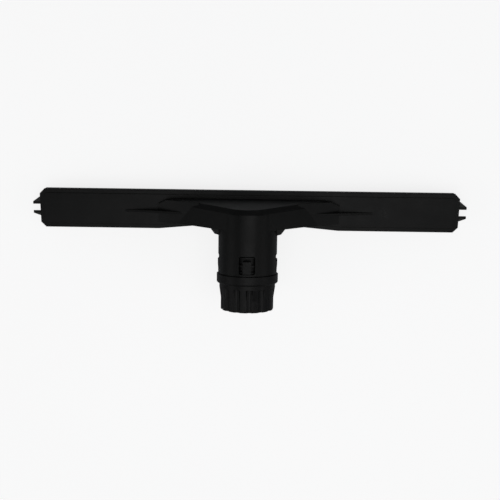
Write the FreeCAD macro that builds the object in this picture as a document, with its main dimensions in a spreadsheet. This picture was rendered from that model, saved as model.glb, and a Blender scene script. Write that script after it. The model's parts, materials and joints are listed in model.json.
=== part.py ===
"""Wet pick-up squeegee head for a vacuum wand, as a parametric FreeCAD document.

Plate frame, used inside every body of the plate end: X along the plate, Y to the front,
Z up, zero at the centre of the plate's top face. Neck frame, used inside the bodies that
sit on the neck: Z out along the neck, zero where the neck leaves the hood's rear wall.
Each body's Placement puts its own frame where it belongs over the blades' tips.
"""
import FreeCAD, Part
import math
import os
import Sketcher

doc = FreeCAD.newDocument("SqueegeeHead")

SIZES = [
    # plate and its skirt
    ("plate_length", 386),
    ("plate_depth", 35.8),
    ("plate_thickness", 3.2),
    ("corner_cut", 4.6),
    ("skirt_depth", 8),
    ("skirt_wall", 2.4),
    ("panel_border", 3.8),
    ("panel_rise", 0.7),
    ("panel_corner", 4),
    ("edge_round", 0.6),
    ("relief_depth", 3),
    ("relief_half_inner", 50),
    ("relief_half_outer", 83),
    ("stand_height", 22),
    # hood
    ("hood_front", 10.7),
    ("hood_back", 11.3),
    ("hood_lean", 4.2),
    ("hood_slope", 34.5),
    ("hood_knee", 64),
    ("hood_half_end", 83),
    ("hood_end_height", 1.6),
    ("wing_overlap", 20),
    ("hood_half_front", 73),
    ("hood_corner_depth", 5),
    ("hood_bevel_back", 4.3),
    ("hood_bevel_drop", 1.6),
    ("hood_wall", 2.6),
    ("chamber_half", 62),
    ("chamber_top_half", 12),
    ("chamber_top", 38),
    # stiffening ribs on the centreline
    ("rib_half", 115.5),
    ("rib_slope", 0.22),
    ("rib_inner", 50),
    ("rib_width", 2),
    ("rib_back", 1.2),
    # neck
    ("neck_root", 11.3),
    ("neck_tilt", 6),
    ("neck_height", 22),
    ("neck_radius", 26.3),
    ("neck_proud", 0.4),
    ("saddle_reach", 12),
    ("saddle_rise", 8),
    ("neck_bore", 23.4),
    ("neck_length", 41),
    ("gusset_reach", 6.8),
    ("gusset_foot", 3.2),
    ("gusset_depth", 5.3),
    ("gusset_rise", 4),
    ("gusset_thickness", 3),
    # snap windows and their tongues
    ("window_width", 14.2),
    ("window_start", 23.6),
    ("window_end", 39.3),
    ("window_round", 1.8),
    ("tongue_width", 7.4),
    ("tongue_start", 27.6),
    ("tongue_gap", 0.3),
    ("hook_length", 3.4),
    ("hook_depth", 0.95),
    ("tongue_proud", 0.35),
    # swivel cuff
    ("running_gap", 0.08),
    ("part_gap", 0.3),
    ("sleeve_radius", 21.2),
    ("sleeve_start", 14),
    ("upper_land_end", 22.4),
    ("guide_start", 24.7),
    ("guide_length", 1.4),
    ("snap_rib_start", 31.3),
    ("snap_rib_length", 2),
    ("lower_land_start", 37.4),
    ("collar_radius", 27.5),
    ("collar_end", 49.4),
    ("collar_round", 1.6),
    ("grip_band_radius", 25.1),
    ("grip_band_end", 53.4),
    ("grip_waist", 63),
    ("grip_radius", 23.7),
    ("grip_end", 73.4),
    ("grip_ribs", 14),
    ("grip_turn", 7),
    ("groove_depth", 1.1),
    ("groove_radius", 3.2),
    ("socket_radius", 19.1),
    ("socket_length", 38),
    ("throat_radius", 17.6),
    ("lead_in", 1.2),
    # rubber rings of the cuff
    ("oring_section", 1.1),
    ("oring_place", 18.4),
    ("seal_place", 60),
    ("seal_length", 4),
    ("seal_depth", 1.2),
    # blade holder
    ("holder_top", 3.2),
    ("holder_bottom", 10.2),
    ("holder_half_length", 187.5),
    ("holder_front", 13),
    ("holder_back", 12.2),
    ("slot_half_length", 62),
    ("slot_front", 2.2),
    ("slot_back", 3.1),
    ("gasket_half_length", 67),
    ("gasket_half_depth", 8.6),
    ("gasket_width", 1.6),
    ("gasket_thickness", 0.9),
    # blades
    ("front_blade_place", 4),
    ("rear_blade_place", 4.8),
    ("front_lean", 9),
    ("rear_lean", 18),
    ("blade_length", 402.6),
    ("blade_thickness", 2.5),
    ("bead_depth", 6.4),
    ("bead_radius", 1.75),
    ("bead_gap", 0.06),
    ("bead_half_length", 186.5),
    ("web_thickness", 1.8),
    ("web_length", 5.2),
    ("tab_rise", 1.15),
    ("tab_flare", 1.3),
    ("flex_angle", 12),
    ("flex_gap", 0.25),
    # screws
    ("screw_radius", 1),
    ("screw_head_radius", 1.7),
    ("screw_head_height", 1.6),
    ("screw_length", 4.6),
    ("screw_recess", 0.8),
    ("clamp_screw_pitch", 56),
    ("clamp_screw_inset", 1.9),
    ("holder_screw_radius", 1.2),
    ("holder_screw_head", 2.1),
    ("holder_screw_length", 9),
    ("holder_screw_near", 84),
    ("holder_screw_far", 154),
]

CLAMP_SCREW_COUNT = 7
TONGUES = ("upper", "left", "lower", "right")

sheet = doc.addObject("Spreadsheet::Sheet", "Sizes")
for row, (alias, value) in enumerate(SIZES, 1):
    sheet.set(f"A{row}", alias)
    sheet.set(f"B{row}", str(value))
    sheet.setAlias(f"B{row}", alias)
doc.recompute()


def size(alias):
    """The number in one cell of the sheet."""
    return float(sheet.get(alias))


def spread(count, pitch):
    """Evenly spaced places, centred on zero."""
    return [(index - (count - 1) / 2) * pitch for index in range(count)]


X_AXIS = FreeCAD.Vector(1, 0, 0)
Z_AXIS = FreeCAD.Vector(0, 0, 1)
TILT = math.radians(size("neck_tilt"))

# The box around the whole head is centred over the origin: half its depth is the mean of
# the front edge of the plate and the lowest, rearmost rim of the cuff.
rear_reach = (size("neck_root") + size("grip_end") * math.cos(TILT)
              + size("grip_radius") * math.sin(TILT))
plate_middle = (rear_reach - size("plate_depth") / 2) / 2
PLATE_FRAME = FreeCAD.Placement(FreeCAD.Vector(0, plate_middle, size("stand_height")),
                                FreeCAD.Rotation())
NECK_ROOT = FreeCAD.Placement(
    FreeCAD.Vector(0, -size("neck_root"), size("neck_height")),
    FreeCAD.Rotation(X_AXIS, 90 - size("neck_tilt")))
NECK_FRAME = PLATE_FRAME * NECK_ROOT


# ---- drawing helpers -----------------------------------------------------------------

def new_body(name, placement):
    body = doc.addObject("PartDesign::Body", name)
    body.Label = name
    body.Placement = placement
    return body


def new_sketch(body, name, role, offset=None, bindings=()):
    """A sketch on one of the body's own origin planes, moved by offset in its frame."""
    sketch = body.newObject("Sketcher::SketchObject", name)
    base = next(item for item in body.Origin.OriginFeatures if item.Role == role)
    sketch.AttachmentSupport = [(base, "")]
    sketch.MapMode = "FlatFace"
    if offset is not None:
        sketch.AttachmentOffset = offset
    for path, expression in bindings:
        sketch.setExpression(f"AttachmentOffset.{path}", expression)
    return sketch


def bound(sketch, kind, expression, *geometry):
    """A dimension of the sketch that follows the sheet."""
    index = sketch.addConstraint(Sketcher.Constraint(kind, *geometry))
    sketch.setExpression(f"Constraints[{index}]", expression)


def outline(sketch, corners):
    """A closed polygon. Each corner is a pair of sheet expressions."""
    first = sketch.GeometryCount
    count = len(corners)
    spots = [FreeCAD.Vector(100 * math.cos(2 * math.pi * index / count),
                            100 * math.sin(2 * math.pi * index / count), 0)
             for index in range(count)]
    for index, spot in enumerate(spots):
        sketch.addGeometry(Part.LineSegment(spot, spots[(index + 1) % count]))
    for index in range(count):
        following = first + (index + 1) % count
        sketch.addConstraint(Sketcher.Constraint("Coincident", first + index, 2, following, 1))
    for index, (across, along) in enumerate(corners):
        bound(sketch, "DistanceX", across, -1, 1, first + index, 1, spots[index].x)
        bound(sketch, "DistanceY", along, -1, 1, first + index, 1, spots[index].y)


def circle(sketch, across, along, radius):
    """A circle whose centre and radius are sheet expressions."""
    index = sketch.addGeometry(Part.Circle(FreeCAD.Vector(1, 1, 0), Z_AXIS, 5))
    bound(sketch, "DistanceX", across, -1, 1, index, 3, 1)
    bound(sketch, "DistanceY", along, -1, 1, index, 3, 1)
    bound(sketch, "Radius", radius, index, 5)


def rectangle(sketch, left, right, low, high):
    outline(sketch, [(left, low), (right, low), (right, high), (left, high)])


def extrude(body, kind, sketch, length, midplane=False, reverse=False):
    """A Pad or a Pocket of the sketch, checked to change the solid the right way."""
    before = body.Shape.Volume if body.Tip else 0
    feature = body.newObject(f"PartDesign::{kind}", f"{sketch.Name}{kind}")
    feature.Profile = sketch
    feature.setExpression("Length", length)
    feature.Midplane = midplane
    feature.Reversed = reverse
    sketch.Visibility = False
    doc.recompute()
    check_volume(body, kind == "Pad", before, feature.Name)
    return feature


def turn(body, kind, sketch, angle=None):
    """A Revolution or a Groove of the sketch about the neck's axis."""
    before = body.Shape.Volume if body.Tip else 0
    feature = body.newObject(f"PartDesign::{kind}", f"{sketch.Name}{kind}")
    feature.Profile = sketch
    feature.ReferenceAxis = (sketch, ["V_Axis"])
    feature.Midplane = angle is not None
    if angle is None:
        feature.Angle = 360
    else:
        feature.setExpression("Angle", angle)
    doc.recompute()
    check_volume(body, kind == "Revolution", before, feature.Name)
    return feature


def check_volume(body, grows, before, name):
    after = body.Shape.Volume
    if grows == (after <= before):
        raise RuntimeError(f"{name} left the volume at {after:.0f} from {before:.0f}")


def round_edges(body, name, radius, wanted):
    """A fillet on every edge of the body's last feature that wanted() accepts."""
    base = body.Tip
    names = [f"Edge{number}" for number, edge in enumerate(base.Shape.Edges, 1)
             if wanted(edge)]
    if not names:
        raise RuntimeError(f"{name} finds no edge")
    fillet = body.newObject("PartDesign::Fillet", name)
    fillet.Base = (base, names)
    fillet.setExpression("Radius", radius)
    doc.recompute()


def bevel_edges(body, name, along, down, wanted):
    """A bevel of two widths on every edge of the last feature that wanted() accepts."""
    base = body.Tip
    names = [f"Edge{number}" for number, edge in enumerate(base.Shape.Edges, 1)
             if wanted(edge)]
    bevel = body.newObject("PartDesign::Chamfer", name)
    bevel.Base = (base, names)
    bevel.ChamferType = "Two distances"
    bevel.setExpression("Size", along)
    bevel.setExpression("Size2", down)
    doc.recompute()
    return bevel


def repeat_round(body, features, sketch, count_alias):
    """Copies of the features around the neck's axis."""
    pattern = body.newObject("PartDesign::PolarPattern", f"{features[0].Name}Pattern")
    pattern.Originals = features
    pattern.Axis = (sketch, ["V_Axis"])
    pattern.Angle = 360
    pattern.setExpression("Occurrences", count_alias)
    body.Tip = pattern
    doc.recompute()


def level(edge):
    """The height of an edge that lies level, or None."""
    box = edge.BoundBox
    return round((box.ZMin + box.ZMax) / 2, 3) if box.ZLength < 1e-4 else None


def clear_of_hood(edge):
    """True for an edge of the plate that lies outside the hood's foot."""
    middle = edge.CenterOfMass
    return abs(middle.x) > size("hood_half_end") or abs(middle.y) > size("hood_back")


# ---- nozzle body: plate, skirt, hood and neck in one moulding ------------------------

def plate_outline(sketch, inset, corner_cut):
    """The plate's outline set in by inset: cut corners, rear edge relieved at the neck."""
    end = f"Sizes.plate_length / 2 - {inset}"
    front = f"Sizes.plate_depth / 2 - {inset}"
    corners = []
    if corner_cut:
        corners += [(end, f"{front} - Sizes.corner_cut"), (f"{end} - Sizes.corner_cut", front),
                    (f"-({end} - Sizes.corner_cut)", front),
                    (f"-({end})", f"{front} - Sizes.corner_cut"),
                    (f"-({end})", f"-({front} - Sizes.corner_cut)"),
                    (f"-({end} - Sizes.corner_cut)", f"-({front})")]
    else:
        corners += [(end, front), (f"-({end})", front), (f"-({end})", f"-({front})")]
    relieved = f"-({front} - Sizes.relief_depth)"
    corners += [("-Sizes.relief_half_outer", f"-({front})"),
                ("-Sizes.relief_half_inner", relieved),
                ("Sizes.relief_half_inner", relieved),
                ("Sizes.relief_half_outer", f"-({front})")]
    if corner_cut:
        corners += [(f"{end} - Sizes.corner_cut", f"-({front})"),
                    (end, f"-({front} - Sizes.corner_cut)")]
    else:
        corners += [(end, f"-({front})")]
    outline(sketch, corners)


# The hood's top is a cylinder round the neck's axis, a little smaller than the neck, and its
# two slopes touch that cylinder. This is the height where the slopes would meet.
HOOD_ROUND = "(Sizes.neck_radius - Sizes.neck_proud)"
HOOD_RIDGE = (f"(Sizes.neck_height + {HOOD_ROUND} / cos(Sizes.neck_tilt)"
              " * sqrt(1 + (tan(Sizes.hood_slope) * cos(Sizes.neck_tilt)) ^ 2))")


def sheared(pad, rise):
    """Makes a pad run forwards and up by an angle, in radians, instead of level."""
    pad.UseCustomVector = True
    pad.Direction = FreeCAD.Vector(0, math.cos(rise), math.sin(rise))
    doc.recompute()


def add_hood(body):
    """The hood's outside: a roof-shaped prism, sheared along the neck, cut and bevelled."""
    foot = "-Sizes.plate_thickness / 2"
    roof = new_sketch(body, "Roof", "XZ_Plane",
                      bindings=[("Base.z", "Sizes.hood_back")])
    half_foot = f"({HOOD_RIDGE} - {foot}) / tan(Sizes.hood_slope)"
    outline(roof, [(half_foot, foot), ("0", HOOD_RIDGE), (f"-{half_foot}", foot)])
    sheared(extrude(body, "Pad", roof, "Sizes.hood_back + Sizes.hood_front + 2"), -TILT)

    round_edges(body, "RidgeRound", HOOD_ROUND,
                lambda edge: abs(edge.CenterOfMass.x) < 0.01 and edge.BoundBox.YLength > 5)

    front = new_sketch(body, "FrontWall", "YZ_Plane")
    lean = "tan(Sizes.hood_lean)"
    outline(front, [(f"Sizes.hood_front + 20 * {lean}", "-20"),
                    (f"Sizes.hood_front - 80 * {lean}", "80"),
                    ("Sizes.hood_front + 30", "80"), ("Sizes.hood_front + 30", "-20")])
    extrude(body, "Pocket", front, "Sizes.plate_length", midplane=True)

    def on_front_rim(edge):
        lean_slope = math.tan(math.radians(size("hood_lean")))
        on_wall = all(abs(spot.y + spot.z * lean_slope - size("hood_front")) < 0.02
                      for spot in (vertex.Point for vertex in edge.Vertexes))
        return on_wall and edge.CenterOfMass.z > 0.5 and edge.BoundBox.XLength > 1

    bevel_edges(body, "FrontBevel", "Sizes.hood_bevel_back", "Sizes.hood_bevel_drop",
                on_front_rim)


def add_wings(body):
    """The hood's low ends, which slope down past the roof's foot and a little to the rear."""
    foot = "-Sizes.plate_thickness + 0.2"
    wings = new_sketch(body, "Wings", "XZ_Plane", bindings=[("Base.z", "Sizes.hood_back")])
    knee = f"({HOOD_RIDGE} - Sizes.hood_knee * tan(Sizes.hood_slope))"
    fall = f"({knee} - Sizes.hood_end_height) / (Sizes.hood_half_end - Sizes.hood_knee)"
    for side in ("", "-"):
        inner = f"{side}(Sizes.hood_knee - Sizes.wing_overlap)"
        outline(wings, [(f"{side}Sizes.hood_half_end", foot),
                        (f"{side}Sizes.hood_half_end", "Sizes.hood_end_height"),
                        (inner, f"{knee} + Sizes.wing_overlap * {fall}"), (inner, foot)])
    sheared(extrude(body, "Pad", wings, "Sizes.hood_back + Sizes.hood_front - 1"), TILT)

    corners = new_sketch(body, "HoodCorners", "XY_Plane",
                         bindings=[("Base.z", "Sizes.panel_rise")])
    for side in ("", "-"):
        outline(corners, [(f"{side}Sizes.hood_half_front", "Sizes.hood_front + 10"),
                          (f"{side}Sizes.hood_half_front", "Sizes.hood_front"),
                          (f"{side}Sizes.hood_half_end", "Sizes.hood_front - Sizes.hood_corner_depth"),
                          (f"{side}(Sizes.hood_half_end + 10)",
                           "Sizes.hood_front - Sizes.hood_corner_depth"),
                          (f"{side}(Sizes.hood_half_end + 10)", "Sizes.hood_front + 10")])
    extrude(body, "Pocket", corners, "Sizes.stand_height", reverse=True)


def add_plate(body):
    plate = new_sketch(body, "Plate", "XY_Plane")
    plate_outline(plate, "0", True)
    extrude(body, "Pad", plate, "Sizes.skirt_depth", reverse=True)
    round_edges(body, "PlateRound", "Sizes.edge_round",
                lambda edge: level(edge) == 0 and clear_of_hood(edge))

    panel = new_sketch(body, "Panel", "XY_Plane")
    plate_outline(panel, "Sizes.panel_border", False)
    extrude(body, "Pad", panel, "Sizes.panel_rise")

    end = size("plate_length") / 2 - size("panel_border")

    def panel_corner(edge):
        box = edge.BoundBox
        return (abs(abs(edge.CenterOfMass.x) - end) < 0.01 and box.ZMin > -0.01
                and box.ZLength > size("panel_rise") / 2)

    round_edges(body, "PanelRound", "Sizes.panel_corner", panel_corner)

    inside = new_sketch(body, "Inside", "XY_Plane",
                        bindings=[("Base.z", "-Sizes.skirt_depth")])
    plate_outline(inside, "Sizes.skirt_wall", True)
    extrude(body, "Pocket", inside, "Sizes.skirt_depth - Sizes.plate_thickness", reverse=True)


def add_ribs(body):
    """A thin straight rib each side, rising from the plate to the roof."""
    ribs = new_sketch(body, "Ribs", "XZ_Plane", bindings=[("Base.z", "Sizes.rib_back")])
    top = "(Sizes.rib_half - Sizes.rib_inner) * Sizes.rib_slope"
    for side in ("", "-"):
        outline(ribs, [(f"{side}Sizes.rib_half", "-Sizes.plate_thickness / 2"),
                       (f"{side}Sizes.rib_half", "Sizes.panel_rise / 2"),
                       (f"{side}Sizes.rib_inner", top),
                       (f"{side}Sizes.rib_inner", "-Sizes.plate_thickness / 2")])
    extrude(body, "Pad", ribs, "Sizes.rib_width", midplane=True)


def add_gussets(body):
    """Small flat webs in the corners between the hood's rear wall and the neck."""
    gussets = new_sketch(body, "Gussets", "XY_Plane",
                         bindings=[("Base.z", "Sizes.neck_height + Sizes.gusset_rise")])
    root = "-Sizes.hood_back + 1.5"
    low = "-Sizes.hood_back - Sizes.gusset_depth"
    for side in ("", "-"):
        outline(gussets, [(f"{side}Sizes.neck_radius / 2", root),
                          (f"{side}(Sizes.neck_radius + Sizes.gusset_reach)", root),
                          (f"{side}(Sizes.neck_radius + Sizes.gusset_reach)",
                           "-Sizes.hood_back - 0.4"),
                          (f"{side}(Sizes.neck_radius + Sizes.gusset_foot)", low),
                          (f"{side}(Sizes.neck_radius - 0.3)", f"{low} - 1"),
                          (f"{side}Sizes.neck_radius / 2", f"{low} - 1")])
    extrude(body, "Pad", gussets, "Sizes.gusset_thickness", midplane=True)


def add_saddle(body):
    """The top of the neck's cylinder, carried forward over the hood to its front bevel."""
    saddle = new_sketch(body, "Saddle", "XY_Plane", offset=NECK_ROOT * FreeCAD.Placement(
        Z_AXIS * -size("saddle_reach"), FreeCAD.Rotation()))
    radius, rise = size("neck_radius"), size("saddle_rise")
    start = math.asin(rise / radius)
    ends = [FreeCAD.Vector(radius * math.cos(turned), rise, 0)
            for turned in (start, math.pi - start)]
    arc = saddle.addGeometry(Part.ArcOfCircle(
        Part.Circle(FreeCAD.Vector(0, 0, 0), Z_AXIS, radius), start, math.pi - start))
    chord = saddle.addGeometry(Part.LineSegment(ends[1], ends[0]))
    saddle.addConstraint(Sketcher.Constraint("Coincident", arc, 3, -1, 1))
    saddle.addConstraint(Sketcher.Constraint("Coincident", arc, 2, chord, 1))
    saddle.addConstraint(Sketcher.Constraint("Coincident", chord, 2, arc, 1))
    saddle.addConstraint(Sketcher.Constraint("Horizontal", chord))
    bound(saddle, "Radius", "Sizes.neck_radius", arc, 5)
    bound(saddle, "DistanceY", "Sizes.saddle_rise", -1, 1, chord, 1, 1)
    extrude(body, "Pad", saddle, "Sizes.saddle_reach + 1")


def add_neck(body):
    overlap = FreeCAD.Placement(Z_AXIS * -2, FreeCAD.Rotation())
    tube = new_sketch(body, "Neck", "XY_Plane", offset=NECK_ROOT * overlap)
    circle(tube, "0", "0", "Sizes.neck_radius")
    extrude(body, "Pad", tube, "Sizes.neck_length + 2")


def cut_airway(body):
    """The chamber under the hood, open through the plate, and the bore of the neck."""
    chamber = new_sketch(body, "Chamber", "XZ_Plane",
                         bindings=[("Base.z", "Sizes.hood_back - Sizes.hood_wall")])
    shoulder = (f"{HOOD_RIDGE} - 1.4 * Sizes.hood_wall / cos(Sizes.hood_slope)"
                " - Sizes.chamber_half * tan(Sizes.hood_slope)")
    low = "-Sizes.plate_thickness - 1"
    outline(chamber, [("Sizes.chamber_half", low), ("Sizes.chamber_half", shoulder),
                      ("Sizes.chamber_top_half", "Sizes.chamber_top"),
                      ("-Sizes.chamber_top_half", "Sizes.chamber_top"),
                      ("-Sizes.chamber_half", shoulder), ("-Sizes.chamber_half", low)])
    depth = ("Sizes.hood_back + Sizes.hood_front - 2 * Sizes.hood_wall"
             " - Sizes.chamber_top * tan(Sizes.hood_lean)")
    extrude(body, "Pocket", chamber, depth)

    bore = new_sketch(body, "Bore", "XY_Plane", offset=NECK_ROOT * FreeCAD.Placement(
        Z_AXIS * -6, FreeCAD.Rotation()))
    circle(bore, "0", "0", "Sizes.neck_bore")
    extrude(body, "Pocket", bore, "Sizes.neck_length + 10", reverse=True)


def cut_windows(body):
    """Four windows with rounded corners, one for each snap tongue."""
    window = new_sketch(body, "Window", "XY_Plane", offset=NECK_ROOT * FreeCAD.Placement(
        FreeCAD.Vector(0, 0, 0), FreeCAD.Rotation(X_AXIS, 90)))
    rectangle(window, "-Sizes.window_width / 2", "Sizes.window_width / 2",
              "Sizes.window_start", "Sizes.window_end")
    pocket = extrude(body, "Pocket", window, "Sizes.neck_radius + 5")
    repeat_round(body, [pocket], window, "4")

    to_neck = NECK_ROOT.inverse()
    corner_places = (size("window_start"), size("window_end"))

    def window_corner(edge):
        spots = [to_neck.multVec(vertex.Point) for vertex in edge.Vertexes]
        if len(spots) != 2:
            return False
        same_height = abs(spots[0].z - spots[1].z) < 0.01
        radial = abs(math.hypot(spots[0].x, spots[0].y) - math.hypot(spots[1].x, spots[1].y))
        at_corner = min(abs(spots[0].z - place) for place in corner_places) < 0.01
        return same_height and at_corner and radial > 1

    round_edges(body, "WindowRound", "Sizes.window_round", window_corner)


# Where the screws stand along the plate: the clamp screws in even rows, the holder's own
# screws either side of the suction slot, clear of the chamber above it.
CLAMP_SCREW_PLACES = [f"{place} * Sizes.clamp_screw_pitch"
                      for place in spread(CLAMP_SCREW_COUNT, 1)]
HOLDER_SCREW_PLACES = ["-Sizes.holder_screw_far", "-Sizes.holder_screw_near",
                       "Sizes.holder_screw_near", "Sizes.holder_screw_far"]
# The holder's screws stand midway between the two rows of beads.
HOLDER_SCREW_LINE = "(Sizes.front_blade_place - Sizes.rear_blade_place) / 2"


def cut_screw_holes(body, name, places, radius, across, low, depth):
    """Blind holes on the underside, one for each screw of a row."""
    sketch = new_sketch(body, name, "XY_Plane", bindings=[("Base.z", low)])
    for place in places:
        circle(sketch, place, across, radius)
    extrude(body, "Pocket", sketch, depth, reverse=True)


def build_nozzle_body():
    body = new_body("nozzle_body", PLATE_FRAME)
    add_hood(body)
    add_plate(body)
    add_ribs(body)
    add_wings(body)
    add_gussets(body)
    add_saddle(body)
    add_neck(body)
    cut_airway(body)
    cut_windows(body)
    cut_screw_holes(body, "HolderScrewHoles", HOLDER_SCREW_PLACES,
                    "Sizes.holder_screw_radius", HOLDER_SCREW_LINE,
                    "-Sizes.plate_thickness",
                    "Sizes.holder_screw_length - Sizes.holder_bottom"
                    " + Sizes.screw_head_height + Sizes.plate_thickness")
    return body


# ---- blade holder and its clamp strips -----------------------------------------------

def slot_half(depth, lean):
    """Half the width of a blade's slot, at a depth under its bead: room for the web to swing."""
    swung = f"({lean} + Sizes.flex_angle)"
    return (f"(Sizes.web_thickness / 2 / cos{swung}"
            f" + {depth} * (tan{swung} - tan({lean})) + Sizes.flex_gap)")


def holder_corner(side, place, lean, depth, inner):
    """A corner of a blade's slot, on its inner or outer side, at a depth under the bead."""
    sign = "-" if inner else "+"
    across = f"({side}1) * ({place} + {depth} * tan({lean}) {sign} {slot_half(depth, lean)})"
    return across, f"-Sizes.bead_depth - {depth}"


BLADES = {
    "front": ("", "Sizes.front_blade_place", "Sizes.front_lean", "Sizes.holder_front"),
    "rear": ("-", "Sizes.rear_blade_place", "Sizes.rear_lean", "Sizes.holder_back"),
}


def build_blade_holder():
    """The frame that carries both blades: a flat bar with a web down the middle."""
    body = new_body("blade_holder", PLATE_FRAME)
    section = new_sketch(body, "HolderSection", "YZ_Plane")
    drop = "(Sizes.holder_bottom - Sizes.bead_depth)"
    corners = []
    for name in ("front", "rear"):
        side, place, lean, edge = BLADES[name]
        half = [(f"{side}{edge}", "-Sizes.holder_top"),
                (f"{side}{edge}", "-Sizes.bead_depth"),
                holder_corner(side, place, lean, "0", True),
                holder_corner(side, place, lean, drop, True)]
        corners += half if name == "front" else half[::-1]
    outline(section, corners)
    extrude(body, "Pad", section, "2 * Sizes.holder_half_length", midplane=True)
    cut_beads(body)

    slot = new_sketch(body, "SuctionSlot", "XY_Plane")
    rectangle(slot, "-Sizes.slot_half_length", "Sizes.slot_half_length",
              "-Sizes.slot_back", "Sizes.slot_front")
    extrude(body, "Pocket", slot, "4 * Sizes.holder_bottom", midplane=True)

    gasket = new_sketch(body, "GasketGroove", "XY_Plane",
                        bindings=[("Base.z", "-Sizes.holder_top")])
    gasket_outlines(gasket)
    extrude(body, "Pocket", gasket, "Sizes.gasket_thickness")

    cut_screw_holes(body, "HolderScrewBores", HOLDER_SCREW_PLACES,
                    "Sizes.holder_screw_radius", HOLDER_SCREW_LINE,
                    "-Sizes.holder_bottom", "Sizes.holder_bottom")
    cut_screw_holes(body, "HolderScrewSeats", HOLDER_SCREW_PLACES,
                    "Sizes.holder_screw_head", HOLDER_SCREW_LINE,
                    "-Sizes.holder_bottom", "Sizes.screw_head_height")
    for name, (side, _place, _lean, edge) in BLADES.items():
        line = f"{side}({edge} - Sizes.clamp_screw_inset)"
        cut_screw_holes(body, f"ClampHoles_{name}", CLAMP_SCREW_PLACES,
                        "Sizes.screw_radius", line,
                        "-Sizes.bead_depth",
                        "Sizes.screw_length + Sizes.screw_head_height"
                        " - Sizes.holder_bottom + Sizes.bead_depth")
    return body


def cut_beads(body):
    """The round groove over each blade's bead."""
    grooves = new_sketch(body, f"{body.Name}_Beads", "YZ_Plane")
    for side, place, _lean, _edge in BLADES.values():
        circle(grooves, f"{side}{place}", "-Sizes.bead_depth",
               "Sizes.bead_radius + Sizes.bead_gap")
    extrude(body, "Pocket", grooves, "Sizes.plate_length", midplane=True)


def gasket_outlines(sketch):
    """A rectangular loop round the suction slot: its outer and inner outlines."""
    for inset in ("0", "Sizes.gasket_width"):
        rectangle(sketch, f"-(Sizes.gasket_half_length - {inset})",
                  f"Sizes.gasket_half_length - {inset}",
                  f"-(Sizes.gasket_half_depth - {inset})",
                  f"Sizes.gasket_half_depth - {inset}")


def build_gasket():
    body = new_body("holder_gasket", PLATE_FRAME)
    loop = new_sketch(body, "GasketLoop", "XY_Plane",
                      bindings=[("Base.z", "-Sizes.holder_top")])
    gasket_outlines(loop)
    extrude(body, "Pad", loop, "Sizes.gasket_thickness", reverse=True)


def build_clamp_strip(name):
    """The strip that closes one bead groove from outside and below."""
    side, place, lean, edge = BLADES[name]
    body = new_body(f"{name}_clamp_strip", PLATE_FRAME)
    section = new_sketch(body, f"ClampSection_{name}", "YZ_Plane")
    drop = "(Sizes.holder_bottom - Sizes.bead_depth)"
    outline(section, [(f"{side}{edge}", "-Sizes.bead_depth"),
                      holder_corner(side, place, lean, "0", False),
                      holder_corner(side, place, lean, drop, False),
                      (f"{side}{edge}", "-Sizes.holder_bottom")])
    extrude(body, "Pad", section, "2 * Sizes.holder_half_length", midplane=True)
    cut_beads(body)
    line = f"{side}({edge} - Sizes.clamp_screw_inset)"
    cut_screw_holes(body, f"ClampBores_{name}", CLAMP_SCREW_PLACES,
                    "Sizes.screw_radius", line, "-Sizes.holder_bottom", "Sizes.holder_bottom")
    cut_screw_holes(body, f"ClampSeats_{name}", CLAMP_SCREW_PLACES,
                    "Sizes.screw_head_radius", line, "-Sizes.holder_bottom",
                    "Sizes.screw_head_height")


# ---- rubber blades -------------------------------------------------------------------

def blade_section(sketch, name, high, low, thickness):
    """A slanting strip of the blade between two depths under its bead."""
    side, place, lean, _edge = BLADES[name]
    corners = []
    for depth, sign in ((high, "-"), (high, "+"), (low, "+"), (low, "-")):
        across = f"{side}({place} + {depth} * tan({lean}) {sign} {thickness} / 2 / cos({lean}))"
        corners.append((across, f"-Sizes.bead_depth - {depth}"))
    outline(sketch, corners)


def build_blade(name):
    """Bead and web run inside the plate, the lip and its end tabs reach past it."""
    side, place, _lean, _edge = BLADES[name]
    body = new_body(f"{name}_blade", PLATE_FRAME)
    lip = new_sketch(body, f"Lip_{name}", "YZ_Plane")
    tip = "(Sizes.stand_height - Sizes.bead_depth)"
    blade_section(lip, name, "Sizes.web_length", tip, "Sizes.blade_thickness")
    extrude(body, "Pad", lip, "Sizes.blade_length", midplane=True)

    web = new_sketch(body, f"Web_{name}", "YZ_Plane")
    blade_section(web, name, "0", "(Sizes.web_length + 0.5)", "Sizes.web_thickness")
    extrude(body, "Pad", web, "2 * Sizes.bead_half_length", midplane=True)

    bead = new_sketch(body, f"Bead_{name}", "YZ_Plane")
    circle(bead, f"{side}{place}", "-Sizes.bead_depth", "Sizes.bead_radius")
    extrude(body, "Pad", bead, "2 * Sizes.bead_half_length", midplane=True)

    for end, reverse in (("-", True), ("", False)):
        tab = new_sketch(body, f"Tab_{name}_{'left' if reverse else 'right'}", "YZ_Plane",
                         bindings=[("Base.z", f"{end}(Sizes.plate_length / 2 + 0.5)")])
        blade_section(tab, name, "(-Sizes.tab_rise)", "(Sizes.web_length + 0.5)",
                      "Sizes.blade_thickness")
        extrude(body, "Pad", tab, "(Sizes.blade_length - Sizes.plate_length) / 2 - 0.5",
                reverse=reverse)

    ends = new_sketch(body, f"EndCut_{name}", "XZ_Plane")
    low, high = "-Sizes.stand_height - 1", "-Sizes.bead_depth + Sizes.tab_rise + 1"
    for sign in ("", "-"):
        outline(ends, [(f"{sign}(Sizes.blade_length / 2 - Sizes.tab_flare)", low),
                       (f"{sign}Sizes.blade_length / 2", high),
                       (f"{sign}(Sizes.blade_length / 2 + 1)", high),
                       (f"{sign}(Sizes.blade_length / 2 + 1)", low)])
    extrude(body, "Pocket", ends, "Sizes.plate_depth", midplane=True)


# ---- swivel cuff and what it carries -------------------------------------------------

def ring_section(body, name, corners):
    """A profile of radius against distance along the neck."""
    sketch = new_sketch(body, name, "XZ_Plane")
    outline(sketch, corners)
    return sketch


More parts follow.
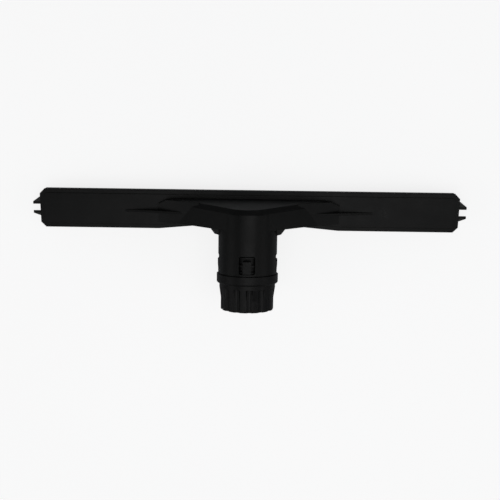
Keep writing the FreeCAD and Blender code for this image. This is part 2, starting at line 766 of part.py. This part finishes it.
def build_swivel_cuff():
    body = new_body("swivel_cuff", NECK_FRAME)
    fit = "Sizes.neck_bore - Sizes.running_gap"
    collar_start = "Sizes.neck_length + Sizes.part_gap"
    oring_low = "Sizes.oring_place - Sizes.oring_section"
    oring_high = "Sizes.oring_place + Sizes.oring_section"
    oring_floor = "Sizes.neck_bore - 2 * Sizes.oring_section - Sizes.running_gap"
    socket_floor = "Sizes.grip_end - Sizes.socket_length"
    seal_high = "Sizes.seal_place + Sizes.seal_length"
    seal_floor = "Sizes.socket_radius + Sizes.seal_depth"
    profile = ring_section(body, "CuffProfile", [
        ("Sizes.throat_radius", "Sizes.sleeve_start"),
        (f"{fit} - Sizes.lead_in", "Sizes.sleeve_start"),
        (fit, "Sizes.sleeve_start + Sizes.lead_in"),
        (fit, oring_low), (oring_floor, oring_low),
        (oring_floor, oring_high), (fit, oring_high), (fit, "Sizes.upper_land_end"),
        ("Sizes.sleeve_radius", "Sizes.upper_land_end"),
        ("Sizes.sleeve_radius", "Sizes.guide_start"), (fit, "Sizes.guide_start"),
        (fit, "Sizes.guide_start + Sizes.guide_length"),
        ("Sizes.sleeve_radius", "Sizes.guide_start + Sizes.guide_length"),
        ("Sizes.sleeve_radius", "Sizes.snap_rib_start"), (fit, "Sizes.snap_rib_start"),
        (fit, "Sizes.snap_rib_start + Sizes.snap_rib_length"),
        ("Sizes.sleeve_radius", "Sizes.snap_rib_start + Sizes.snap_rib_length"),
        ("Sizes.sleeve_radius", "Sizes.lower_land_start"), (fit, "Sizes.lower_land_start"),
        (fit, collar_start), ("Sizes.collar_radius", collar_start),
        ("Sizes.collar_radius", "Sizes.collar_end"),
        ("Sizes.grip_band_radius", "Sizes.collar_end"),
        ("Sizes.grip_band_radius", "Sizes.grip_band_end"),
        ("Sizes.grip_radius", "Sizes.grip_waist"), ("Sizes.grip_radius", "Sizes.grip_end"),
        ("Sizes.socket_radius + Sizes.lead_in", "Sizes.grip_end"),
        ("Sizes.socket_radius", "Sizes.grip_end - Sizes.lead_in"),
        ("Sizes.socket_radius", seal_high), (seal_floor, seal_high),
        (seal_floor, "Sizes.seal_place"), ("Sizes.socket_radius", "Sizes.seal_place"),
        ("Sizes.socket_radius", socket_floor), ("Sizes.throat_radius", socket_floor)])
    turn(body, "Revolution", profile)

    def collar_rim(edge):
        box = edge.BoundBox
        return (abs(box.XLength / 2 - size("collar_radius")) < 0.05
                and abs(edge.CenterOfMass.z - size("collar_end")) < 0.05)

    round_edges(body, "CollarRound", "Sizes.collar_round", collar_rim)
    cut_grip_grooves(body)


def cut_grip_grooves(body):
    """Shallow round flutes between the grip's ribs, from the smooth band to the end."""
    flute = new_sketch(body, "Flute", "XY_Plane", bindings=[("Base.z", "Sizes.grip_end")])
    out = "(Sizes.grip_radius - Sizes.groove_depth + Sizes.groove_radius)"
    circle(flute, f"{out} * cos(Sizes.grip_turn)", f"{out} * sin(Sizes.grip_turn)",
           "Sizes.groove_radius")
    pocket = extrude(body, "Pocket", flute, "Sizes.grip_end - Sizes.grip_band_end")
    pattern = body.newObject("PartDesign::PolarPattern", "FlutePattern")
    pattern.Originals = [pocket]
    pattern.Axis = (flute, ["N_Axis"])
    pattern.Angle = 360
    pattern.setExpression("Occurrences", "Sizes.grip_ribs")
    body.Tip = pattern
    doc.recompute()


def build_wand_seal():
    """A rubber ring in the socket's groove, with a lip that the wand passes through."""
    body = new_body("wand_seal", NECK_FRAME)
    middle = "Sizes.seal_place + Sizes.seal_length / 2"
    seal = ring_section(body, "SealProfile", [
        ("Sizes.socket_radius + Sizes.seal_depth", "Sizes.seal_place"),
        ("Sizes.socket_radius + Sizes.seal_depth", "Sizes.seal_place + Sizes.seal_length"),
        ("Sizes.socket_radius + 0.2", "Sizes.seal_place + Sizes.seal_length"),
        ("Sizes.socket_radius + 0.05", middle),
        ("Sizes.socket_radius + 0.2", "Sizes.seal_place")])
    turn(body, "Revolution", seal)


def build_cuff_oring():
    ring = doc.addObject("Part::Torus", "cuff_oring")
    ring.Label = "cuff_oring"
    ring.setExpression("Radius1", "Sizes.neck_bore - Sizes.oring_section - Sizes.running_gap")
    ring.setExpression("Radius2", "Sizes.oring_section")
    ring.Placement = NECK_FRAME * FreeCAD.Placement(Z_AXIS * size("oring_place"),
                                                    FreeCAD.Rotation())


def build_tongue(name, quarter_turns):
    """A strip of the neck's wall, with a hook inside its free end."""
    spin = FreeCAD.Placement(FreeCAD.Vector(0, 0, 0),
                             FreeCAD.Rotation(Z_AXIS, 90 * quarter_turns))
    body = new_body(f"{name}_tongue", NECK_FRAME * spin)
    root = "Sizes.window_end - Sizes.tongue_gap"
    hook_end = "Sizes.tongue_start + Sizes.hook_length"
    hook_radius = "Sizes.neck_bore - Sizes.hook_depth"
    outside = "Sizes.neck_radius + Sizes.tongue_proud"
    profile = new_sketch(body, f"TongueProfile_{name}", "YZ_Plane")
    outline(profile, [(hook_radius, hook_end), (hook_radius, "Sizes.tongue_start + 1.2"),
                      ("Sizes.neck_bore", "Sizes.tongue_start"),
                      (f"{outside} - 0.5", "Sizes.tongue_start"),
                      (outside, "Sizes.tongue_start + 0.5"),
                      (outside, "Sizes.tongue_start + 5"),
                      ("Sizes.neck_radius", f"{root} - 2"), ("Sizes.neck_radius", root),
                      ("Sizes.neck_bore", root), ("Sizes.neck_bore", hook_end)])
    turn(body, "Revolution", profile,
         angle="2 * asin(Sizes.tongue_width / 2 / Sizes.neck_radius)")


# ---- screws --------------------------------------------------------------------------

def build_screw(name, place, radius, head_radius, length):
    """A pan-headed screw, head down, with a straight slot in its head."""
    head = doc.addObject("Part::Cylinder", f"{name}_head")
    head.setExpression("Radius", head_radius)
    head.setExpression("Height", "Sizes.screw_head_height")
    shank = doc.addObject("Part::Cylinder", f"{name}_shank")
    shank.setExpression("Radius", radius)
    shank.setExpression("Height", f"{length} + Sizes.screw_head_height")
    solid = doc.addObject("Part::Fuse", f"{name}_solid")
    solid.Base = head
    solid.Tool = shank
    slot = doc.addObject("Part::Box", f"{name}_slot")
    slot.setExpression("Length", f"3 * {head_radius}")
    slot.setExpression("Width", "Sizes.screw_recess")
    slot.setExpression("Height", "Sizes.screw_recess")
    slot.Placement = FreeCAD.Placement(
        FreeCAD.Vector(-1.5 * size(head_radius.split(".")[1]), -size("screw_recess") / 2, 0),
        FreeCAD.Rotation())
    screw = doc.addObject("Part::Cut", name)
    screw.Base = solid
    screw.Tool = slot
    screw.Placement = FreeCAD.Placement(place, FreeCAD.Rotation(Z_AXIS, 7 * place.x))
    return screw


def build_screw_row(name, places, line, radius, head_radius, length):
    """A row of alike screws, heads flush in the holder's underside, as one node."""
    screws = []
    for number, along in enumerate(places, 1):
        place = FreeCAD.Vector(along, line, -size("holder_bottom"))
        screws.append(build_screw(f"{name}_{number}", place, radius, head_radius, length))
    row = doc.addObject("Part::Compound", name)
    row.Label = name
    row.Links = screws
    row.Placement = PLATE_FRAME


def build_screws():
    for name, sign, edge in (("front_clamp_screws", 1, "holder_front"),
                             ("rear_clamp_screws", -1, "holder_back")):
        build_screw_row(name, spread(CLAMP_SCREW_COUNT, size("clamp_screw_pitch")),
                        sign * (size(edge) - size("clamp_screw_inset")),
                        "Sizes.screw_radius", "Sizes.screw_head_radius", "Sizes.screw_length")
    middle = (size("front_blade_place") - size("rear_blade_place")) / 2
    near, far = size("holder_screw_near"), size("holder_screw_far")
    build_screw_row("holder_screws", [-far, -near, near, far], middle,
                    "Sizes.holder_screw_radius", "Sizes.holder_screw_head",
                    "Sizes.holder_screw_length")


# ---- the whole head ------------------------------------------------------------------

build_nozzle_body()
build_blade_holder()
build_gasket()
for blade in BLADES:
    build_clamp_strip(blade)
    build_blade(blade)
build_swivel_cuff()
build_wand_seal()
build_cuff_oring()
for turns, side_name in enumerate(TONGUES):
    build_tongue(side_name, turns)
build_screws()
doc.recompute()

NODES = [item for item in doc.Objects
         if item.TypeId in ("PartDesign::Body", "Part::Compound") or item.Name == "cuff_oring"]

for item in doc.Objects:
    if "Invalid" in item.State or "Error" in item.State:
        raise RuntimeError(f"{item.Name} failed: {item.State}")
for node in NODES:
    if node.Shape.isNull() or not node.Shape.isValid():
        raise RuntimeError(f"{node.Label} has no valid shape")

os.makedirs("parts", exist_ok=True)
for node in NODES:
    node.Shape.exportStep(f"parts/{node.Label}.step")
    print(f"{node.Label}: {len(node.Shape.Solids)} solid(s), {node.Shape.Volume / 1000:.2f} cm3")
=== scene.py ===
import json
import math

import bmesh
import bpy
from mathutils import Matrix, Vector


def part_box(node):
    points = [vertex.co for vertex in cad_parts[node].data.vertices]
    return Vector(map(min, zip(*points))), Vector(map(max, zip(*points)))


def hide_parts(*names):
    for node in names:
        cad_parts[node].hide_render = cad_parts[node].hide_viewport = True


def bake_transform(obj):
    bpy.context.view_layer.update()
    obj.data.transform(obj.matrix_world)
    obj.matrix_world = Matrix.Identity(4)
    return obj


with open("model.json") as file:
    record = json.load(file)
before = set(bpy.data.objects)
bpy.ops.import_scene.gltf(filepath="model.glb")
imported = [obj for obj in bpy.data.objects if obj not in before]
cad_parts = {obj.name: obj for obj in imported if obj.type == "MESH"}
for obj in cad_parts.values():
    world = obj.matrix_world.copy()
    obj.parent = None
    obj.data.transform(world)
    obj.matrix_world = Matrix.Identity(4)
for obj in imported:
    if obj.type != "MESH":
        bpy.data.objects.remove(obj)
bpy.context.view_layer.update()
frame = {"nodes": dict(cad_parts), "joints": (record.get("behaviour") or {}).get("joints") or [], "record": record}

MM = 0.001

# ---- places read from the frame -------------------------------------------------------

PLATE_DEPTH = 35.8 * MM
PLATE_THICKNESS = 3.2 * MM
PANEL_RISE = 0.7 * MM

joints = {joint["name"]: joint for joint in frame["joints"]}
plate_low, plate_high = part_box("nozzle_body")
holder_low, holder_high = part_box("blade_holder")
plate_centre = Vector((0, plate_high.y - PLATE_DEPTH / 2, holder_high.z + PLATE_THICKNESS))


# ---- procedural materials -------------------------------------------------------------

class Look:
    """A procedural material being put together: its node tree and its shader."""

    def __init__(self, name):
        self.material = bpy.data.materials.new(name)
        self.material.use_nodes = True
        self.tree = self.material.node_tree
        self.shader = self.tree.nodes["Principled BSDF"]
        self.place = self.node("ShaderNodeTexCoord").outputs["Object"]

    def node(self, kind, inputs=(), **settings):
        """A node with its settings, and its inputs given as numbers or as other outputs."""
        made = self.tree.nodes.new(kind)
        for name, value in settings.items():
            setattr(made, name, value)
        for name, value in dict(inputs).items():
            self.feed(made.inputs[name], value)
        return made

    def feed(self, socket, value):
        if isinstance(value, bpy.types.NodeSocket):
            self.tree.links.new(value, socket)
        else:
            socket.default_value = value

    def set(self, **values):
        """Shader inputs by name, with spaces written as underscores."""
        for name, value in values.items():
            self.feed(self.shader.inputs[name.replace("_", " ")], value)

    def stretched(self, stretch):
        return self.node("ShaderNodeMapping", {"Vector": self.place, "Scale": stretch}).outputs[0]

    def noise(self, size, detail=3, rough=0.5, stretch=None, distort=0):
        """Cloudy noise whose features are about size across, in metres."""
        vector = self.stretched(stretch) if stretch else self.place
        return self.node("ShaderNodeTexNoise", {
            "Vector": vector, "Scale": 1 / size, "Detail": detail, "Roughness": rough,
            "Distortion": distort}).outputs["Fac"]

    def cells(self, size, feature="F1"):
        return self.node("ShaderNodeTexVoronoi", {"Vector": self.place, "Scale": 1 / size},
                         feature=feature).outputs["Distance"]

    def ramp(self, value, low, high, start=0.0, end=1.0):
        """value between low and high becomes start to end, held flat outside."""
        return self.node("ShaderNodeMapRange", {
            "Value": value, "From Min": low, "From Max": high, "To Min": start,
            "To Max": end}, interpolation_type="SMOOTHSTEP").outputs[0]

    def math(self, operation, first, second=0.0):
        made = self.node("ShaderNodeMath", operation=operation)
        self.feed(made.inputs[0], first)
        self.feed(made.inputs[1], second)
        return made.outputs[0]

    def blend(self, share, first, second):
        """A colour between two, by share."""
        made = self.node("ShaderNodeMix", data_type="RGBA")
        self.feed(made.inputs["Factor"], share)
        for socket, value in zip(made.inputs[6:8], (first, second)):
            self.feed(socket, value if isinstance(value, bpy.types.NodeSocket) else (*value, 1))
        return made.outputs[2]

    def bump(self, height, depth, normal=None):
        made = self.node("ShaderNodeBump", {"Height": height, "Distance": depth})
        if normal is not None:
            self.feed(made.inputs["Normal"], normal)
        return made.outputs[0]

    def edges(self, radius):
        """The normal with its edges rounded, and a mask that is 1 on the edges."""
        soft = self.node("ShaderNodeBevel", {"Radius": radius}, samples=6).outputs[0]
        plain = self.node("ShaderNodeNewGeometry").outputs["Normal"]
        made = self.node("ShaderNodeVectorMath", operation="DOT_PRODUCT")
        self.feed(made.inputs[0], soft)
        self.feed(made.inputs[1], plain)
        return soft, self.ramp(made.outputs["Value"], 0.995, 0.86)


def moulded_plastic(name, colour, worn, roughness, gate=None):
    """Black moulded plastic: spark-eroded grain, faint mottling, edges polished by use."""
    look = Look(name)
    soft, edge = look.edges(0.45 * MM)
    mottle = look.noise(14 * MM, detail=4, rough=0.6)
    fine = look.noise(1.1 * MM, detail=3, rough=0.7)
    scuffs = look.noise(2.2 * MM, detail=2, stretch=(0.12, 1, 1), distort=0.6)
    scuffed = look.ramp(scuffs, 0.66, 0.8)
    wear = look.math("MULTIPLY", edge, look.ramp(mottle, 0.35, 0.65, 0.35, 1.0))

    tint = look.blend(look.ramp(mottle, 0.3, 0.7), colour, [c * 1.25 for c in colour])
    tint = look.blend(look.ramp(fine, 0.3, 0.75, 0.0, 0.35), tint, worn)
    tint = look.blend(look.math("MULTIPLY", wear, 0.6), tint, worn)
    dull = look.ramp(mottle, 0.25, 0.75, roughness - 0.035, roughness + 0.035)
    dull = look.math("ADD", dull, look.ramp(fine, 0.3, 0.7, -0.03, 0.03))
    dull = look.math("ADD", dull, look.math("MULTIPLY", scuffed, 0.08))
    dull = look.math("SUBTRACT", dull, look.math("MULTIPLY", wear, 0.07))
    if gate is not None:
        blush = gate_blush(look, gate)
        tint = look.blend(look.math("MULTIPLY", blush, 0.9), tint, [c * 3 for c in worn])
        dull = look.math("ADD", dull, look.math("MULTIPLY", blush, -0.1))

    grain = look.cells(0.55 * MM, feature="SMOOTH_F1")
    normal = look.bump(look.noise(25 * MM, detail=1), 0.15 * MM, soft)
    normal = look.bump(look.noise(0.25 * MM, detail=2), 0.012 * MM, normal)
    normal = look.bump(grain, 0.035 * MM, normal)
    look.set(Base_Color=tint, Roughness=dull, Normal=normal, IOR=1.5)
    return look


def gate_blush(look, spot):
    """A mask of the flow marks that fan out from where the plastic entered the mould."""
    away = look.node("ShaderNodeVectorMath", operation="DISTANCE")
    look.feed(away.inputs[0], look.place)
    away.inputs[1].default_value = spot
    near = look.ramp(away.outputs["Value"], 8 * MM, 1 * MM)
    streaks = look.ramp(look.noise(3 * MM, detail=2, distort=2.5), 0.5, 0.62)
    return look.math("MULTIPLY", near, streaks)


def rubber(name, colour, pale, roughness):
    """Moulded rubber: a dusty bloom in patches and fine marks along the blade."""
    look = Look(name)
    soft, edge = look.edges(0.3 * MM)
    bloom = look.noise(6 * MM, detail=5, rough=0.65)
    drawn = look.noise(0.7 * MM, detail=3, stretch=(0.04, 1, 1))
    fine = look.noise(0.4 * MM, detail=3, rough=0.7)
    tint = look.blend(look.ramp(bloom, 0.3, 0.7), colour, pale)
    tint = look.blend(look.ramp(drawn, 0.45, 0.75, 0.0, 0.4), tint, [c * 0.6 for c in colour])
    tint = look.blend(look.math("MULTIPLY", edge, 0.35), tint, pale)
    dull = look.ramp(bloom, 0.3, 0.7, roughness - 0.06, roughness + 0.05)
    dull = look.math("ADD", dull, look.ramp(fine, 0.3, 0.7, -0.04, 0.04))
    normal = look.bump(drawn, 0.04 * MM, soft)
    normal = look.bump(fine, 0.02 * MM, normal)
    look.set(Base_Color=tint, Roughness=dull, Normal=normal, IOR=1.5)
    return look


def screw_steel(name):
    """Stainless steel turned on a lathe, with a few dull water spots."""
    look = Look(name)
    soft, edge = look.edges(0.15 * MM)
    turned = look.noise(0.25 * MM, detail=3, stretch=(1, 1, 0.3))
    spots = look.ramp(look.noise(1.6 * MM, detail=3), 0.55, 0.72)
    tint = look.blend(spots, (0.62, 0.62, 0.60), (0.40, 0.39, 0.37))
    tint = look.blend(look.math("MULTIPLY", edge, 0.5), tint, (0.75, 0.75, 0.74))
    dull = look.math("ADD", look.ramp(turned, 0.3, 0.7, 0.24, 0.36),
                     look.math("MULTIPLY", spots, 0.2))
    look.set(Base_Color=tint, Roughness=dull, Metallic=1.0,
             Normal=look.bump(turned, 0.01 * MM, soft))
    return look


GATE_ALONG = 125.5 * MM
GATE_BACK = 0.3 * MM
GATE = Vector((plate_centre.x + GATE_ALONG, plate_centre.y - GATE_BACK,
               plate_centre.z + PANEL_RISE))

LOOKS = {
    "body_plastic": moulded_plastic("BodyPlastic", (0.0030, 0.0034, 0.0032),
                                    (0.0060, 0.0063, 0.0061), 0.42, GATE),
    "cuff_plastic": moulded_plastic("CuffPlastic", (0.0036, 0.0036, 0.0039),
                                    (0.0070, 0.0070, 0.0072), 0.42),
    "holder_plastic": moulded_plastic("HolderPlastic", (0.010, 0.010, 0.0105),
                                      (0.018, 0.018, 0.0185), 0.5),
    "blade_rubber": rubber("BladeRubber", (0.030, 0.031, 0.029), (0.046, 0.047, 0.044), 0.6),
    "seal_rubber": rubber("SealRubber", (0.012, 0.012, 0.012), (0.022, 0.022, 0.021), 0.55),
    "screw_steel": screw_steel("ScrewSteel"),
}


def finish_cad_nodes():
    """Every node carried over from the frame takes its slot's procedural material."""
    for part in frame["record"]["subparts"]:
        node = frame["nodes"][part["node"]]
        node.data.materials.clear()
        node.data.materials.append(LOOKS[part["material_slot"]].material)


# ---- rubber blades --------------------------------------------------------------------

FRONT_LEAN = math.radians(9)
REAR_LEAN = math.radians(18)
BLADE_THICKNESS = 2.5 * MM
WEB_THICKNESS = 1.8 * MM
WEB_LENGTH = 5.2 * MM
BEAD_RADIUS = 1.75 * MM
BEAD_HALF_LENGTH = 186.5 * MM
TAB_RISE = 1.15 * MM
TAB_START = 193.5 * MM
TAB_FLARE = 1.3 * MM
LIP_ROUND = 0.3 * MM
TAB_ROUND = 0.35 * MM
WEB_OVERLAP = 0.6 * MM
TAB_OVERLAP = 1 * MM
STEPS_ALONG = 120
TAB_STEPS = 3
BEAD_SIDES = 24
# A tab is a hair smaller than the lip, so that the two have no faces in common.
TAB_THINNER = 0.999
TAB_SHORTER = 0.9999
SHARP_ANGLE = math.radians(40)


def rounded_polygon(corners, radius, steps=4):
    """The corners of a polygon, each replaced by a small arc."""
    points = []
    count = len(corners)
    for index, corner in enumerate(corners):
        before = (corners[index - 1] - corner).normalized()
        after = (corners[(index + 1) % count] - corner).normalized()
        half_angle = before.angle(after) / 2
        reach = radius / math.tan(half_angle)
        start, end = corner + before * reach, corner + after * reach
        for step in range(steps + 1):
            share = step / steps
            bend = (start * (1 - share) ** 2 + corner * 2 * share * (1 - share)
                    + end * share ** 2)
            points.append(bend)
    return points


def bar(name, section, left, right, steps):
    """A closed solid: a section in the Y-Z plane carried along X in even steps."""
    mesh = bmesh.new()
    rings = []
    for step in range(steps + 1):
        x = left + (right - left) * step / steps
        rings.append([mesh.verts.new((x, point.x, point.y)) for point in section])
    count = len(section)
    for low, high in zip(rings, rings[1:]):
        for index in range(count):
            following = (index + 1) % count
            mesh.faces.new((low[index], high[index], high[following], low[following]))
    mesh.faces.new(rings[0])
    mesh.faces.new(rings[-1][::-1])
    bmesh.ops.recalc_face_normals(mesh, faces=mesh.faces)
    data = bpy.data.meshes.new(name)
    mesh.to_mesh(data)
    mesh.free()
    piece = bpy.data.objects.new(name, data)
    bpy.context.scene.collection.objects.link(piece)
    return piece


def join_solids(piece, others):
    """One closed solid from several that overlap."""
    for other in others:
        union = piece.modifiers.new("union", "BOOLEAN")
        union.operation = "UNION"
        union.solver = "EXACT"
        union.object = other
    graph = bpy.context.evaluated_depsgraph_get()
    solid = bpy.data.meshes.new_from_object(piece.evaluated_get(graph))
    piece.modifiers.clear()
    piece.data = solid
    for other in others:
        bpy.data.objects.remove(other)


def slant_ends(blade, low, reach, top):
    """Draws the blade's ends in towards its lip, so that they are cut on the slant."""
    for vertex in blade.data.vertices:
        beyond = abs(vertex.co.x) - TAB_START
        if beyond > 0:
            share = beyond / (reach - TAB_START)
            drop = (top - vertex.co.z) / (top - low.z)
            vertex.co.x -= math.copysign(TAB_FLARE * share * drop, vertex.co.x)


def build_blade(name, node, joint, lean, outward):
    """A wiping lip under its web and bead, with a full-height tab at each end."""
    low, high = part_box(node)
    pivot = Vector(joints[joint]["pos_m"])
    bead = Vector((pivot.y, pivot.z))
    down = Vector((outward * math.sin(lean), -math.cos(lean)))
    across = Vector((down.y, -down.x))
    tip_run = (pivot.z - low.z) / math.cos(lean)

    def strip(top, bottom, thickness, tip_cut):
        """Corners of a slanted strip, whose foot is cut level when tip_cut is true."""
        side = across * thickness / 2
        corners = [bead + down * top + side, bead + down * top - side]
        for sign in (-1, 1):
            foot = bead + down * bottom + across * sign * thickness / 2
            if tip_cut:
                foot = foot + down * ((low.z - foot.y) / down.y)
            corners.append(foot)
        return corners

    lip = bar(name, rounded_polygon(strip(WEB_LENGTH, tip_run, BLADE_THICKNESS, True), LIP_ROUND),
              low.x, high.x, STEPS_ALONG)
    web = bar("web", strip(0, WEB_LENGTH + WEB_OVERLAP, WEB_THICKNESS, False),
              -BEAD_HALF_LENGTH, BEAD_HALF_LENGTH, STEPS_ALONG)
    circle = [bead + Vector((math.cos(turn), math.sin(turn))) * BEAD_RADIUS
              for turn in (2 * math.pi * step / BEAD_SIDES for step in range(BEAD_SIDES))]
    core = bar("bead", circle, -BEAD_HALF_LENGTH, BEAD_HALF_LENGTH, STEPS_ALONG)
    tab = rounded_polygon(strip(-TAB_RISE, WEB_LENGTH + TAB_OVERLAP,
                                BLADE_THICKNESS * TAB_THINNER, False), TAB_ROUND)
    tabs = [bar("tab", tab, *sorted((side * TAB_START, side * high.x * TAB_SHORTER)), TAB_STEPS)
            for side in (-1, 1)]
    join_solids(lip, [web, core, *tabs])
    slant_ends(lip, low, high.x, pivot.z + TAB_RISE)
    lip.data.materials.append(LOOKS["blade_rubber"].material)
    lip.data.shade_smooth()
    lip.data.set_sharp_from_angle(angle=SHARP_ANGLE)
    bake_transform(lip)
    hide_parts(node)


# ---- floor, light and camera ----------------------------------------------------------

FLOOR_SIZE = 3
FLOOR_GLOW = 0.8


def build_floor():
    mesh = bmesh.new()
    bmesh.ops.create_grid(mesh, x_segments=8, y_segments=8, size=FLOOR_SIZE)
    data = bpy.data.meshes.new("Floor")
    mesh.to_mesh(data)
    mesh.free()
    floor = bpy.data.objects.new("Floor", data)
    bpy.context.scene.collection.objects.link(floor)
    look = Look("PaleFloor")
    shade = look.ramp(look.noise(0.4, detail=2), 0.3, 0.7, 0.0, 1.0)
    look.set(Base_Color=look.blend(shade, (0.90, 0.90, 0.90), (0.93, 0.93, 0.93)),
             Roughness=0.9, Specular_IOR_Level=0.0,
             Emission_Color=(1, 1, 1, 1), Emission_Strength=FLOOR_GLOW)
    floor.data.materials.append(look.material)
    floor.visible_glossy = False


def softbox(name, place, size, power, aim):
    """A soft rectangular light, turned to its aim."""
    light = bpy.data.lights.new(name, "AREA")
    light.shape = "RECTANGLE"
    light.size, light.size_y = size
    light.energy = power
    lamp = bpy.data.objects.new(name, light)
    lamp.location = place
    lamp.rotation_euler = (Vector(aim) - Vector(place)).to_track_quat("-Z", "Y").to_euler()
    bpy.context.scene.collection.objects.link(lamp)


# Each light's place from the plate's centre, its size in metres and its power in watts.
LIGHTS = {
    "OverheadLight": ((0.10, -0.15, 1.3), (1.6, 0.7), 1.6),
    "LeftLight": ((-1.3, -0.4, 0.7), (0.8, 0.8), 0.6),
    "RightLight": ((1.3, -0.4, 0.7), (0.8, 0.8), 0.6),
}
# How bright the room is above the horizon, and what stands in for the floor below it.
# Directions between the two heights, as the sine of their angle, blend from one to the other.
ROOM_STRENGTH = 0.065
BELOW_STRENGTH = 0.13
BELOW_HEIGHT = -0.5
ROOM_HEIGHT = 0.1
ROOM_COLOUR = (0.95, 0.97, 1.0, 1)


def build_light():
    for name, (place, size, power) in LIGHTS.items():
        softbox(name, plate_centre + Vector(place), size, power, plate_centre)
    world = bpy.data.worlds.new("Studio")
    world.use_nodes = True
    tree = world.node_tree
    direction = tree.nodes.new("ShaderNodeTexCoord").outputs["Generated"]
    height = tree.nodes.new("ShaderNodeSeparateXYZ")
    tree.links.new(direction, height.inputs[0])
    strength = tree.nodes.new("ShaderNodeMapRange")
    for name, value in (("From Min", BELOW_HEIGHT), ("From Max", ROOM_HEIGHT),
                        ("To Min", BELOW_STRENGTH), ("To Max", ROOM_STRENGTH)):
        strength.inputs[name].default_value = value
    tree.links.new(height.outputs["Z"], strength.inputs["Value"])
    back = tree.nodes["Background"]
    back.inputs["Color"].default_value = ROOM_COLOUR
    tree.links.new(strength.outputs[0], back.inputs["Strength"])
    bpy.context.scene.world = world


# The camera stands over the plate, a little in front of it, and looks down at it.
LENS = 46.8
SENSOR = 36
VIEW_DISTANCE = 598.95 * MM
VIEW_TILT = math.radians(12.75)
VIEW_YAW = math.radians(0.92)
VIEW_ROLL = math.radians(0.888)
PLATE_FROM_AXIS = Vector((-1.26 * MM, 36.33 * MM))


def build_camera():
    turn = (Matrix.Rotation(-VIEW_TILT, 4, "X") @ Matrix.Rotation(VIEW_YAW, 4, "Y")
            @ Matrix.Rotation(VIEW_ROLL, 4, "Z"))
    data = bpy.data.cameras.new("Camera")
    data.lens = LENS
    data.sensor_width = SENSOR
    camera = bpy.data.objects.new("Camera", data)
    plate_in_view = Vector((PLATE_FROM_AXIS.x, PLATE_FROM_AXIS.y, -VIEW_DISTANCE))
    camera.matrix_world = Matrix.Translation(plate_centre - turn @ plate_in_view) @ turn
    bpy.context.scene.collection.objects.link(camera)
    bpy.context.scene.camera = camera
    bpy.context.scene.view_settings.view_transform = "Standard"


# ---- the scene ------------------------------------------------------------------------

finish_cad_nodes()
build_blade("FrontBlade", "front_blade", "front_blade_flex", FRONT_LEAN, 1)
build_blade("RearBlade", "rear_blade", "rear_blade_flex", REAR_LEAN, -1)
build_floor()
build_light()
build_camera()
